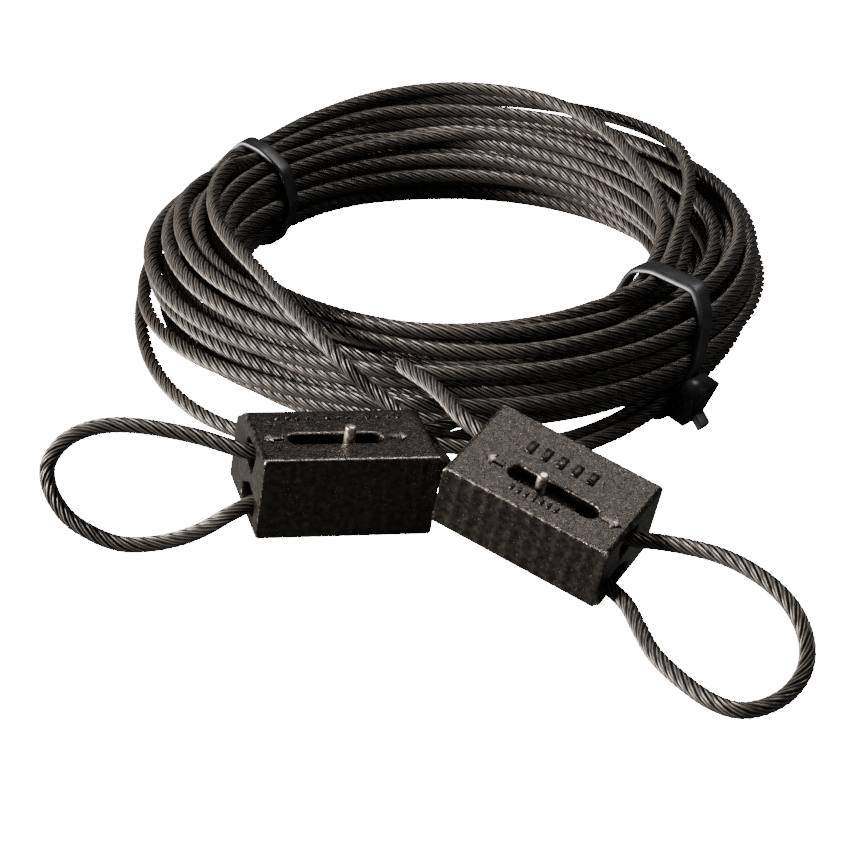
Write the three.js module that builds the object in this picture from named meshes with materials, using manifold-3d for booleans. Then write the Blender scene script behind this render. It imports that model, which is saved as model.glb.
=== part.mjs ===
// A coiled steel wire rope with a two-channel, self-gripping wire-rope lock on each end.
// Millimetres, +Z up. The coil lies flat, the locks lie in front of it (-Y), and the origin is on the
// floor under the middle of the two locks.
import * as THREE from "three";
import { mergeVertices } from "three/addons/utils/BufferGeometryUtils.js";
import Module from "manifold-3d";

const wasm = await Module();
wasm.setup();

// ---- driving dimensions ----
const ROPE_D = 3;
const ROPE_SIDES = 8;
const GAP = 0.3; // clearance between neighbouring pieces

// Lock block: X along the rope channels, Y across, Z between the two slotted faces.
const LOCK_L = 33;
const LOCK_W = 22;
const LOCK_H = 16.5;
const BEVEL_W = 4.8; // the one large bevel, across the block
const BEVEL_H = 4; // and down it
const EDGE = 0.7; // bevel on the other long edges
const END_EDGE = 0.45; // bevel round the two end faces
const FLUTES = 11;
const FLUTE_PITCH = 2.85;
const FLUTE_DEPTH = 0.55;
const FLUTE_STEPS = 4;

// The two channels are each other's point reflection through the block's centre.
const CHANNEL_Z = 3.7; // channel axis above the block's middle plane
const CHANNEL_Y = 2.7; // channel axis beside the centre line, at the block's middle
const CHANNEL_ANGLE = THREE.MathUtils.degToRad(10); // plan angle between a channel and the block
const BORE_R = 1.85;
const POCKET_LOW = 1.1; // the wedge pocket's floor and roof above the middle plane
const POCKET_HIGH = 6.3;
const POCKET_WALL = 5.9; // the straight wall that the wedge slides along
const POCKET_NARROW_END = 12.5;
const POCKET_SPRING_END = 14.2;
const MOUTH_DEPTH = 2.2;

const SLOT_Y = 3.3;
const SLOT_W = 3.6;
const SLOT_FROM = -10.6;
const SLOT_TO = 7.4;

const WEDGE_FROM = -6;
const WEDGE_TO = 4.5;
const TOOTH_PITCH = 1.05;
const TOOTH_DEPTH = 0.35;
const PIN_X = 0.9;
const PIN_R = 1.05;
const PIN_PROUD = 2.5;
const PIN_FOOT = 3;
const SPRING_Y = 1.9;
const SPRING_OD = 4.2;
const SPRING_WIRE = 0.45;
const SPRING_TURNS = 5;
const PLATE_T = 1.2; // the loose plate that the spring pushes against

// Where the locks stand: centre, then roll, pitch and yaw in degrees.
const LOCK_LEFT = { at: [-19.4, 10.1, 11.9], turn: [2.6, 7.75, 15.9] };
const LOCK_RIGHT = { at: [18.4, -6.4, 12.75], turn: [187.1, 14.9, -28.6] };

// Coil and cable ties
const COIL_CENTRE = [2.7, 102.7];
const COIL_INNER = 43.2;
const COIL_OUTER = 67.2;
const COIL_LOW = 1.8;
const COIL_HIGH = 20.2;
const COIL_CORNER = 8;
const COIL_STEPS = 40;
const TIE_T = 1.2;
const TIE_W = 3.6;
const TIE_CLEAR = 0.5;
const TIE_CLEAR_INNER = 1;
const TIE_HEAD = [5, 6, 5.2]; // outwards, up, and across the strap
const TIE_TAIL = [5, 1.1, 2.8];
const TIE_LEFT = { azimuth: 145, shear: -0.35 };
const TIE_RIGHT = { azimuth: -44.4, shear: 0.85 };

// ---- finishes ----
const castZinc = new THREE.MeshStandardMaterial({ color: 0x3b3733, roughness: 0.5, metalness: 0.85 });
const darkRope = new THREE.MeshStandardMaterial({ color: 0x4a4642, roughness: 0.55, metalness: 0.7 });
const brightSteel = new THREE.MeshStandardMaterial({ color: 0xa89b8a, roughness: 0.35, metalness: 1 });
const springSteel = new THREE.MeshStandardMaterial({ color: 0x77736c, roughness: 0.35, metalness: 1 });
const blackNylon = new THREE.MeshStandardMaterial({ color: 0x0d0d10, roughness: 0.3, metalness: 0 });

// ---- solids ----
function solid(geometry) {
  const bare = geometry.index ? geometry.toNonIndexed() : geometry.clone();
  bare.deleteAttribute("normal");
  bare.deleteAttribute("uv");
  const merged = mergeVertices(bare, 1e-4);
  return new wasm.Manifold(
    new wasm.Mesh({
      numProp: 3,
      vertProperties: merged.attributes.position.array,
      triVerts: new Uint32Array(merged.index.array),
    }),
  );
}

function geometryOf(manifold) {
  const mesh = manifold.getMesh();
  const geometry = new THREE.BufferGeometry();
  geometry.setAttribute("position", new THREE.BufferAttribute(new Float32Array(mesh.vertProperties), 3));
  geometry.setIndex(new THREE.BufferAttribute(new Uint32Array(mesh.triVerts), 1));
  return geometry;
}

// A prism of an outline given as [first, second] pairs, standing on the named axis from low to high.
// The outline is read as (x, y) on the Z axis, (y, z) on the X axis and (x, z) on the Y axis.
function prism(outline, axis, a, b) {
  const shape = new THREE.Shape(outline.map(([u, v]) => new THREE.Vector2(u, v)));
  const low = Math.min(a, b);
  const geometry = new THREE.ExtrudeGeometry(shape, { depth: Math.abs(b - a), bevelEnabled: false });
  geometry.translate(0, 0, low);
  if (axis === "x") {
    geometry.applyMatrix4(new THREE.Matrix4().set(0, 0, 1, 0, 1, 0, 0, 0, 0, 1, 0, 0, 0, 0, 0, 1));
  }
  if (axis === "y") {
    geometry.rotateX(Math.PI / 2);
    geometry.translate(0, low + Math.max(a, b), 0);
  }
  return geometry;
}

function circle(x, y, r, sides) {
  return Array.from({ length: sides }, (_, i) => {
    const t = (2 * Math.PI * i) / sides;
    return [x + r * Math.cos(t), y + r * Math.sin(t)];
  });
}

function stadium(from, to, y, width, steps) {
  const r = width / 2;
  const points = [];
  for (const [x, start] of [
    [to - r, -Math.PI / 2],
    [from + r, Math.PI / 2],
  ]) {
    for (let i = 0; i <= steps; i += 1) {
      const t = start + (Math.PI * i) / steps;
      points.push([x + r * Math.cos(t), y + r * Math.sin(t)]);
    }
  }
  return points;
}

// ---- the lock ----
const channelY = (x) => CHANNEL_Y + x * Math.tan(CHANNEL_ANGLE);

// One long side of the plan outline, with its concave flutes, from the left end to the right end.
function flutedSide(y) {
  const inwards = -Math.sign(y);
  const first = (-FLUTES * FLUTE_PITCH) / 2;
  const points = [[-LOCK_L / 2, y]];
  for (let i = 0; i <= FLUTES * FLUTE_STEPS; i += 1) {
    const depth = FLUTE_DEPTH * Math.abs(Math.sin((Math.PI * i) / FLUTE_STEPS));
    points.push([first + (i * FLUTE_PITCH) / FLUTE_STEPS, y + inwards * depth]);
  }
  points.push([LOCK_L / 2, y]);
  return points;
}

function lockBlock() {
  const w = LOCK_W / 2;
  const h = LOCK_H / 2;
  const l = LOCK_L / 2;
  const plan = [...flutedSide(-w), ...flutedSide(w).reverse()];
  const section = [
    [-w, -h + EDGE],
    [-w + EDGE, -h],
    [w - EDGE, -h],
    [w, -h + EDGE],
    [w, h - BEVEL_H - 0.25],
    [w - 0.3, h - BEVEL_H + 0.45],
    [w - BEVEL_W + 0.6, h - 0.3],
    [w - BEVEL_W - 0.25, h],
    [-w + EDGE, h],
    [-w, h - EDGE],
  ];
  const side = [
    [-l, -h + END_EDGE],
    [-l + END_EDGE, -h],
    [l - END_EDGE, -h],
    [l, -h + END_EDGE],
    [l, h - END_EDGE],
    [l - END_EDGE, h],
    [-l + END_EDGE, h],
    [-l, h - END_EDGE],
  ];
  return solid(prism(plan, "z", -h, h))
    .intersect(solid(prism(section, "x", -l - 1, l + 1)))
    .intersect(solid(prism(side, "y", -w - 1, w + 1)));
}

// What is cut out of the block for one channel. s is 1 for the channel near the +Z face and -1 for
// its point reflection near the -Z face.
function channelCuts(s) {
  const flip = (points) => points.map(([u, v]) => [s * u, s * v]);
  const bore = new THREE.CylinderGeometry(BORE_R, BORE_R, LOCK_L * 1.3, 16);
  bore.rotateZ(CHANNEL_ANGLE - Math.PI / 2);
  bore.translate(0, s * CHANNEL_Y, s * CHANNEL_Z);
  const pocket = [
    [-POCKET_NARROW_END, -POCKET_WALL],
    [POCKET_SPRING_END, -POCKET_WALL],
    [POCKET_SPRING_END, channelY(POCKET_SPRING_END)],
    [-POCKET_NARROW_END, channelY(-POCKET_NARROW_END)],
  ];
  const narrowMouth = [
    [-3.1, 0.7],
    [1.3, 1.6],
    [2.4, 3.7],
    [1.8, 5.9],
    [-3.6, 6.3],
    [-4.7, 5.2],
  ];
  const wideMouth = [
    [2.6, 1.3],
    [7.4, 2.3],
    [7.5, 5],
    [6.6, 5.9],
    [-2.2, 6.1],
    [-2.2, 4],
  ];
  const end = LOCK_L / 2;
  return [
    solid(bore),
    solid(prism(flip(pocket), "z", s * POCKET_LOW, s * POCKET_HIGH)),
    solid(prism(flip(narrowMouth), "x", s * (-end + MOUTH_DEPTH), s * (-end - 1))),
    solid(prism(flip(wideMouth), "x", s * (POCKET_SPRING_END - 0.1), s * (end + 1))),
    solid(prism(flip(stadium(SLOT_FROM, SLOT_TO, -SLOT_Y, SLOT_W, 6)), "z", s * 6, s * (LOCK_H / 2 + 1))),
  ];
}

function lockBodyGeometry() {
  return geometryOf([...channelCuts(1), ...channelCuts(-1)].reduce((body, cut) => body.subtract(cut), lockBlock()));
}

// The wedge fills the pocket between its straight wall and the rope, with teeth towards the rope.
function wedgeGeometry(s) {
  const face = (x) => channelY(x) - ROPE_D / 2 - GAP - 0.05;
  const points = [
    [WEDGE_FROM, -POCKET_WALL + GAP],
    [WEDGE_TO, -POCKET_WALL + GAP],
  ];
  const teeth = Math.round((WEDGE_TO - WEDGE_FROM) / TOOTH_PITCH);
  const pitch = (WEDGE_TO - WEDGE_FROM) / teeth;
  for (let i = 0; i < teeth; i += 1) {
    const x = WEDGE_TO - i * pitch;
    points.push([x, face(x) - TOOTH_DEPTH]);
    points.push([x - 0.65 * pitch, face(x - 0.65 * pitch)]);
  }
  points.push([WEDGE_FROM, face(WEDGE_FROM) - TOOTH_DEPTH]);
  const outline = points.map(([x, y]) => [s * x, s * y]);
  const hole = circle(s * PIN_X, -s * SLOT_Y, PIN_R + GAP, 12);
  const wedge = solid(prism(outline, "z", s * (POCKET_LOW + GAP), s * (POCKET_HIGH - GAP)));
  return geometryOf(wedge.subtract(solid(prism(hole, "z", s * (PIN_FOOT - GAP), s * POCKET_HIGH))));
}

function pinGeometry(s) {
  const top = LOCK_H / 2 + PIN_PROUD;
  const profile = [
    [0, PIN_FOOT],
    [PIN_R, PIN_FOOT],
    [PIN_R, top - 0.3],
    [PIN_R - 0.3, top],
    [0, top],
  ];
  const geometry = new THREE.LatheGeometry(
    profile.map(([r, z]) => new THREE.Vector2(r, z)),
    12,
  );
  geometry.rotateX((s * Math.PI) / 2);
  geometry.translate(s * PIN_X, -s * SLOT_Y, 0);
  return geometry;
}

class Helix extends THREE.Curve {
  constructor(radius, from, to, turns) {
    super();
    Object.assign(this, { radius, from, to, turns });
  }

  getPoint(t, target = new THREE.Vector3()) {
    const a = 2 * Math.PI * this.turns * t;
    const x = THREE.MathUtils.lerp(this.from, this.to, t);
    return target.set(x, this.radius * Math.cos(a), this.radius * Math.sin(a));
  }
}

function springGeometry(s) {
  const half = SPRING_WIRE / 2;
  const from = WEDGE_TO + GAP + half;
  const to = POCKET_SPRING_END - GAP - PLATE_T - GAP - half;
  const path = new Helix((SPRING_OD - SPRING_WIRE) / 2, from, to, SPRING_TURNS);
  const section = new THREE.Shape(circle(0, 0, half, 6).map(([u, v]) => new THREE.Vector2(u, v)));
  const geometry = new THREE.ExtrudeGeometry(section, {
    extrudePath: path,
    steps: SPRING_TURNS * 12,
    bevelEnabled: false,
  });
  if (s < 0) geometry.rotateZ(Math.PI);
  geometry.translate(0, -s * SPRING_Y, s * CHANNEL_Z);
  return geometry;
}

function springPlateGeometry(s) {
  const to = POCKET_SPRING_END - GAP;
  const from = to - PLATE_T;
  const outline = [
    [from, -POCKET_WALL + GAP],
    [to, -POCKET_WALL + GAP],
    [to, 1.9],
    [from, 1.9],
  ].map(([x, y]) => [s * x, s * y]);
  return prism(outline, "z", s * (POCKET_LOW + GAP), s * (POCKET_HIGH - GAP));
}

function mesh(name, geometry, material) {
  const made = new THREE.Mesh(geometry, material);
  made.name = name;
  return made;
}

// The lock's own group. load and tail say which of the two channels each rope runs in.
function lock(name, place, channels) {
  const group = new THREE.Group();
  group.name = name;
  group.add(mesh(`${name}_body`, lockBodyGeometry(), castZinc));
  for (const [use, s] of Object.entries(channels)) {
    group.add(mesh(`${name}_wedge_${use}`, wedgeGeometry(s), brightSteel));
    group.add(mesh(`${name}_pin_${use}`, pinGeometry(s), brightSteel));
    group.add(mesh(`${name}_spring_${use}`, springGeometry(s), springSteel));
    group.add(mesh(`${name}_plate_${use}`, springPlateGeometry(s), springSteel));
  }
  const [roll, pitch, yaw] = place.turn.map(THREE.MathUtils.degToRad);
  group.rotation.set(roll, pitch, yaw, "ZYX");
  group.position.set(...place.at);
  group.updateMatrixWorld(true);
  return group;
}

// ---- the rope ----
// Points on a channel's axis in a placed lock, from one end of the block to the other.
function throughLock(lockGroup, s, from, to) {
  return [0, 1 / 3, 2 / 3, 1].map((t) => {
    const x = THREE.MathUtils.lerp(from, to, t);
    const local = new THREE.Vector3(x, s * channelY(s * x), s * CHANNEL_Z);
    return local.applyMatrix4(lockGroup.matrixWorld);
  });
}

// A smooth curve whose equal parameter steps land on the given points.
class RopePath extends THREE.CatmullRomCurve3 {
  constructor(points) {
    super(points, false, "centripetal");
  }

  getPointAt(u, target) {
    return this.getPoint(u, target);
  }

  getTangentAt(u, target) {
    return this.getTangent(u, target);
  }
}

function ropeGeometry(points) {
  const section = circle(0, 0, ROPE_D / 2, ROPE_SIDES).map(([u, v]) => new THREE.Vector2(u, v));
  return new THREE.ExtrudeGeometry(new THREE.Shape(section), {
    extrudePath: new RopePath(points),
    steps: points.length - 1,
    bevelEnabled: false,
  });
}

const at = (list) => list.map(([x, y, z]) => new THREE.Vector3(x, y, z));

// The left lock's load rope: from under the coil's right front, behind the right lock.
const LEFT_LEAD = at([
  [40.3, 46.3, 2.4],
  [35.6, 41.6, 2.1],
  [29.7, 36.8, 2],
  [21, 30.9, 2],
  [12.5, 25.7, 2.4],
  [6, 21.1, 3.6],
  [1, 17.7, 4.8],
]);
const LEFT_LOOP = at([
  [-38.2, -1.2, 8.6],
  [-42.3, -1.4, 6],
  [-46.3, -1.6, 4.2],
  [-50.3, -1.5, 3],
  [-54.4, -1.4, 2.4],
  [-58, -1.1, 2.4],
  [-61.2, -0.5, 3.2],
  [-64.2, 0.1, 4.6],
  [-67, 1.1, 6.2],
  [-69.3, 2.5, 8.6],
  [-70.8, 4.1, 11.3],
  [-71.2, 5.9, 14.2],
  [-69.6, 7.5, 17.1],
  [-66.9, 8.6, 19.2],
  [-63.3, 9.3, 20.5],
  [-59, 9.5, 21.1],
  [-53.4, 9, 21],
  [-47.7, 8.1, 20.4],
  [-42.7, 7.2, 19.6],
  [-38.4, 6.2, 18.6],
]);
const LEFT_TAIL = at([
  [-1, 21.7, 13.5],
  [2.8, 23.1, 14.4],
]);

// The right lock's load rope leaves the top of the coil beside the left tie, crosses the front of
// the coil and drops behind the left lock.
const RIGHT_LEAD = at([
  [-45.6, 123.3, 22.2],
  [-47.6, 114.8, 22.2],
  [-47.8, 104.4, 22.2],
  [-46, 93.6, 22.2],
  [-42, 82.7, 22.2],
  [-37.4, 72.8, 22.2],
  [-32.7, 62.4, 22.2],
  [-28.3, 52.7, 22.1],
  [-23.8, 43.8, 21.8],
  [-20.1, 38, 20.6],
  [-16.8, 34.8, 18.4],
  [-13.4, 33.7, 15.6],
  [-9.6, 31.3, 13.4],
  [-6, 28.3, 11.2],
  [-2.6, 23.5, 10.2],
  [-0.6, 17.5, 10.4],
  [0.5, 11.9, 11.8],
  [1.2, 7.1, 13.4],
]);
const RIGHT_LOOP = at([
  [31.8, -22.1, 3.5],
  [33.7, -28.4, 2.7],
  [36, -36.1, 2.1],
  [40.4, -43.9, 1.8],
  [44.4, -49, 1.7],
  [48.6, -51.5, 1.7],
  [52.9, -50.8, 2],
  [56.8, -48.9, 3.2],
  [59.7, -45.7, 5.4],
  [60.5, -41.8, 8.2],
  [59.1, -36.7, 11],
  [56, -31.3, 12.6],
  [51.9, -26.3, 13.3],
  [47.4, -22.3, 13.4],
  [42.5, -19.1, 13],
  [38, -16.7, 12.5],
]);
const RIGHT_TAIL = at([
  [3.7, 9.5, 22.7],
  [1.2, 15.3, 22.9],
  [-1.4, 20.9, 22.7],
  [-4.2, 25.9, 22.3],
  [-7.2, 30.9, 21.8],
]);

// ---- the coil and its ties ----
function roundedSection(inner, outer, low, high, corner, steps) {
  const centres = [
    [outer - corner, low + corner, -Math.PI / 2],
    [outer - corner, high - corner, 0],
    [inner + corner, high - corner, Math.PI / 2],
    [inner + corner, low + corner, Math.PI],
  ];
  return centres.flatMap(([r, z, start]) =>
    Array.from({ length: steps + 1 }, (_, i) => {
      const t = start + ((Math.PI / 2) * i) / steps;
      return new THREE.Vector2(r + corner * Math.cos(t), z + corner * Math.sin(t));
    }),
  );
}

function coilGeometry() {
  const profile = roundedSection(COIL_INNER, COIL_OUTER, COIL_LOW, COIL_HIGH, COIL_CORNER, 3);
  profile.push(profile[0].clone());
  const geometry = new THREE.LatheGeometry(profile, COIL_STEPS);
  geometry.rotateX(Math.PI / 2);
  geometry.translate(COIL_CENTRE[0], COIL_CENTRE[1], 0);
  return geometry;
}

// A one-piece tie in its own plane (X outwards, Z up), sheared along its width, then turned to its
// azimuth on the coil. The head is a box on the strap's outside with the cut tail standing out of it.
function tieGeometry(tie) {
  const inner = COIL_INNER - TIE_CLEAR_INNER;
  const outer = COIL_OUTER + TIE_CLEAR;
  const low = COIL_LOW - TIE_CLEAR;
  const high = COIL_HIGH + TIE_CLEAR;
  const shape = new THREE.Shape(
    roundedSection(inner - TIE_T, outer + TIE_T, low - TIE_T, high + TIE_T, COIL_CORNER + TIE_T, 5),
  );
  shape.holes.push(new THREE.Path(roundedSection(inner, outer, low, high, COIL_CORNER, 5).reverse()));
  const band = new THREE.ExtrudeGeometry(shape, { depth: TIE_W, bevelEnabled: false });
  band.translate(0, 0, -TIE_W / 2);
  const head = new THREE.BoxGeometry(TIE_HEAD[0], TIE_HEAD[1], TIE_HEAD[2]);
  head.rotateZ(-0.12);
  head.translate(outer + TIE_HEAD[0] / 2, low + 3, 0);
  const tail = new THREE.BoxGeometry(TIE_TAIL[0], TIE_TAIL[1], TIE_TAIL[2]);
  tail.rotateZ(-0.18);
  tail.translate(outer + TIE_HEAD[0] + 1.6, low + 0.6, 0);
  const joined = geometryOf(solid(band).add(solid(head)).add(solid(tail)));
  joined.rotateX(Math.PI / 2);
  const middle = (COIL_LOW + COIL_HIGH) / 2;
  const shear = new THREE.Matrix4().set(1, 0, 0, 0, 0, 1, tie.shear, -tie.shear * middle, 0, 0, 1, 0, 0, 0, 0, 1);
  joined.applyMatrix4(shear);
  joined.rotateZ(THREE.MathUtils.degToRad(tie.azimuth));
  joined.translate(COIL_CENTRE[0], COIL_CENTRE[1], 0);
  return joined;
}

// ---- assembly ----
const part = new THREE.Group();
part.name = "wire_rope_with_locks";

const lockLeft = lock("lock_left", LOCK_LEFT, { tail: 1, load: -1 });
const lockRight = lock("lock_right", LOCK_RIGHT, { load: 1, tail: -1 });
part.add(lockLeft, lockRight);

const inside = LOCK_L / 2 - 0.8; // the rope is straight between these two stations
part.add(
  mesh(
    "rope_end_left",
    ropeGeometry([
      ...LEFT_LEAD,
      ...throughLock(lockLeft, -1, inside, -inside),
      ...LEFT_LOOP,
      ...throughLock(lockLeft, 1, -inside, inside),
      ...LEFT_TAIL,
    ]),
    darkRope,
  ),
  mesh(
    "rope_end_right",
    ropeGeometry([
      ...RIGHT_LEAD,
      ...throughLock(lockRight, 1, -inside, inside),
      ...RIGHT_LOOP,
      ...throughLock(lockRight, -1, inside, -inside),
      ...RIGHT_TAIL,
    ]),
    darkRope,
  ),
  mesh("rope_coil", coilGeometry(), darkRope),
  mesh("cable_tie_left", tieGeometry(TIE_LEFT), blackNylon),
  mesh("cable_tie_right", tieGeometry(TIE_RIGHT), blackNylon),
);

export default part;
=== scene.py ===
"""A coiled wire rope with a self-gripping lock on each end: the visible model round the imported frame.

Everything is in metres in the frame's own axes: +Z up, the coil behind the locks (+Y).
"""

import logging
import math
from dataclasses import dataclass
from enum import Enum

import bmesh
import bpy
import numpy as np
from mathutils import Euler, Matrix, Vector


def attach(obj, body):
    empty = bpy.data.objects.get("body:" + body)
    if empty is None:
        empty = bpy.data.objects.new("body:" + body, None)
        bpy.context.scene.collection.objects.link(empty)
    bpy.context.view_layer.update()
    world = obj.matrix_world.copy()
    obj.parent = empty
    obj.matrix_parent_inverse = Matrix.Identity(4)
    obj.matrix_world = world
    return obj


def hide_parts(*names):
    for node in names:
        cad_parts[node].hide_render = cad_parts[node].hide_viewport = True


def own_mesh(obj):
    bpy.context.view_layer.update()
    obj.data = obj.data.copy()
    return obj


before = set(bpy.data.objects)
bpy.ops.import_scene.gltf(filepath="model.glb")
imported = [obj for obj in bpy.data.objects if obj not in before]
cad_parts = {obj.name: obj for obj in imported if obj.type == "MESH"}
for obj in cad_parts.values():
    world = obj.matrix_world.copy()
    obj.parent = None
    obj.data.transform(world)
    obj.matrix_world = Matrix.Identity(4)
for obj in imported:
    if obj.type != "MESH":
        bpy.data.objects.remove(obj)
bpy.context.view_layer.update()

LOG = logging.getLogger("wire_rope")
MM = 0.001

Point = tuple[float, float, float]
Socket = bpy.types.NodeSocket


# ---------------------------------------------------------------------------------------------
# Small helpers
# ---------------------------------------------------------------------------------------------


def smoothstep(t: np.ndarray) -> np.ndarray:
    """Eases values from 0 to 1, and holds them there outside that span."""
    t = np.clip(t, 0.0, 1.0)
    return t * t * (3.0 - 2.0 * t)


def azimuth_gap(azimuth: np.ndarray, other: float) -> np.ndarray:
    """The signed difference of two azimuths in degrees, from -180 to 180."""
    return (azimuth - other + 180.0) % 360.0 - 180.0


def add_object(name: str, mesh: bpy.types.Mesh) -> bpy.types.Object:
    """Links a mesh to the scene as an object at the origin."""
    made = bpy.data.objects.new(name, mesh)
    bpy.context.scene.collection.objects.link(made)
    return made


def mesh_from(name: str, points: np.ndarray, edges: list, faces: list) -> bpy.types.Mesh:
    """Makes a mesh of plain lists.

    Args:
        name: the mesh's name.
        points: vertex positions, in metres.
        edges: pairs of vertex numbers, for a mesh without faces.
        faces: lists of vertex numbers.

    Returns:
        The mesh.
    """
    mesh = bpy.data.meshes.new(name)
    mesh.from_pydata([tuple(map(float, p)) for p in points], edges, faces)
    mesh.update()
    return mesh


def bake_modifiers(piece: bpy.types.Object) -> None:
    """Turns a piece and its modifiers into one plain mesh, and removes the modifiers."""
    bpy.context.view_layer.update()
    graph = bpy.context.evaluated_depsgraph_get()
    result = bpy.data.meshes.new_from_object(piece.evaluated_get(graph), depsgraph=graph)
    piece.modifiers.clear()
    old = piece.data
    piece.data = result
    bpy.data.meshes.remove(old)
    result.name = piece.name


def set_inputs(modifier: bpy.types.NodesModifier, values: dict[str, object]) -> None:
    """Sets a Geometry Nodes modifier's inputs by their sockets' identifiers."""
    for item in modifier.node_group.interface.items_tree:
        if item.item_type == "SOCKET" and item.in_out == "INPUT" and item.name in values:
            modifier[item.identifier] = values[item.name]


def shade_smooth(mesh: bpy.types.Mesh) -> None:
    """Shades every face of a mesh smooth."""
    mesh.polygons.foreach_set("use_smooth", [True] * len(mesh.polygons))
    mesh.update()


def add_attribute(mesh: bpy.types.Mesh, name: str, values: np.ndarray) -> None:
    """Writes one number for each vertex, which a material can read."""
    layer = mesh.attributes.new(name, "FLOAT", "POINT")
    layer.data.foreach_set("value", values.astype(np.float32))


# ---------------------------------------------------------------------------------------------
# Node building
# ---------------------------------------------------------------------------------------------


class Graph:
    """A node tree with short calls for the nodes that this model uses."""

    def __init__(self, tree: bpy.types.NodeTree) -> None:
        """Wraps a node tree."""
        self.tree = tree

    def node(self, kind: str, **settings: object) -> bpy.types.Node:
        """Adds a node and sets its properties."""
        made = self.tree.nodes.new(kind)
        for key, value in settings.items():
            setattr(made, key, value)
        return made

    def feed(self, socket: Socket, value: object) -> None:
        """Links a socket to an input, or sets the input to a plain value."""
        if isinstance(value, bpy.types.NodeSocket):
            self.tree.links.new(value, socket)
        elif value is not None:
            socket.default_value = value

    def math(self, operation: str, *values: object) -> Socket:
        """Adds a Math node and returns its result."""
        made = self.node("ShaderNodeMath", operation=operation)
        for socket, value in zip(made.inputs, values):
            self.feed(socket, value)
        return made.outputs[0]

    def apply(self, kind: str, first: Socket, inputs: dict[str, object], **settings: object) -> Socket:
        """Adds a node that works on its first input, and returns its first output.

        Args:
            kind: the node's type.
            first: what its first input takes, such as a geometry.
            inputs: its other inputs by name.
            settings: its properties.

        Returns:
            The node's first output.
        """
        made = self.node(kind, **settings)
        self.feed(made.inputs[0], first)
        for name, value in inputs.items():
            self.feed(made.inputs[name], value)
        return made.outputs[0]

    def blend(self, factor: object, low: object, high: object) -> Socket:
        """Mixes two colours."""
        made = self.node("ShaderNodeMix", data_type="RGBA")
        self.feed(made.inputs["Factor"], factor)
        self.feed(made.inputs[6], low)
        self.feed(made.inputs[7], high)
        return made.outputs[2]

    def remap(self, value: object, low: float, high: float, to_low: float, to_high: float) -> Socket:
        """Maps a span of values to another, and clamps it."""
        spans = {"From Min": low, "From Max": high, "To Min": to_low, "To Max": to_high}
        return self.apply("ShaderNodeMapRange", value, spans)

    def noise(self, coords: Socket, scale: object, detail: float = 3.0, roughness: float = 0.6) -> Socket:
        """Adds a Noise texture and returns its value."""
        settings = {"Scale": scale, "Detail": detail, "Roughness": roughness}
        return self.apply("ShaderNodeTexNoise", coords, settings)


def new_group(
    name: str, kind: str, inputs: list[tuple], outputs: list[tuple]
) -> tuple[Graph, bpy.types.Node, bpy.types.Node]:
    """Makes a node group with named sockets.

    Args:
        name: the group's name.
        kind: the tree's type.
        inputs: (name, socket type, default) of each input. The default may be None.
        outputs: (name, socket type) of each output.

    Returns:
        The graph, its input node and its output node.
    """
    tree = bpy.data.node_groups.new(name, kind)
    for label, socket_type, default in inputs:
        socket = tree.interface.new_socket(label, in_out="INPUT", socket_type=socket_type)
        if default is not None:
            socket.default_value = default
    for label, socket_type in outputs:
        tree.interface.new_socket(label, in_out="OUTPUT", socket_type=socket_type)
    graph = Graph(tree)
    return graph, graph.node("NodeGroupInput"), graph.node("NodeGroupOutput")


# ---------------------------------------------------------------------------------------------
# Shader groups that several finishes share
# ---------------------------------------------------------------------------------------------

FLOAT = "NodeSocketFloat"
VECTOR = "NodeSocketVector"
COLOR = "NodeSocketColor"
GEOMETRY = "NodeSocketGeometry"


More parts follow.
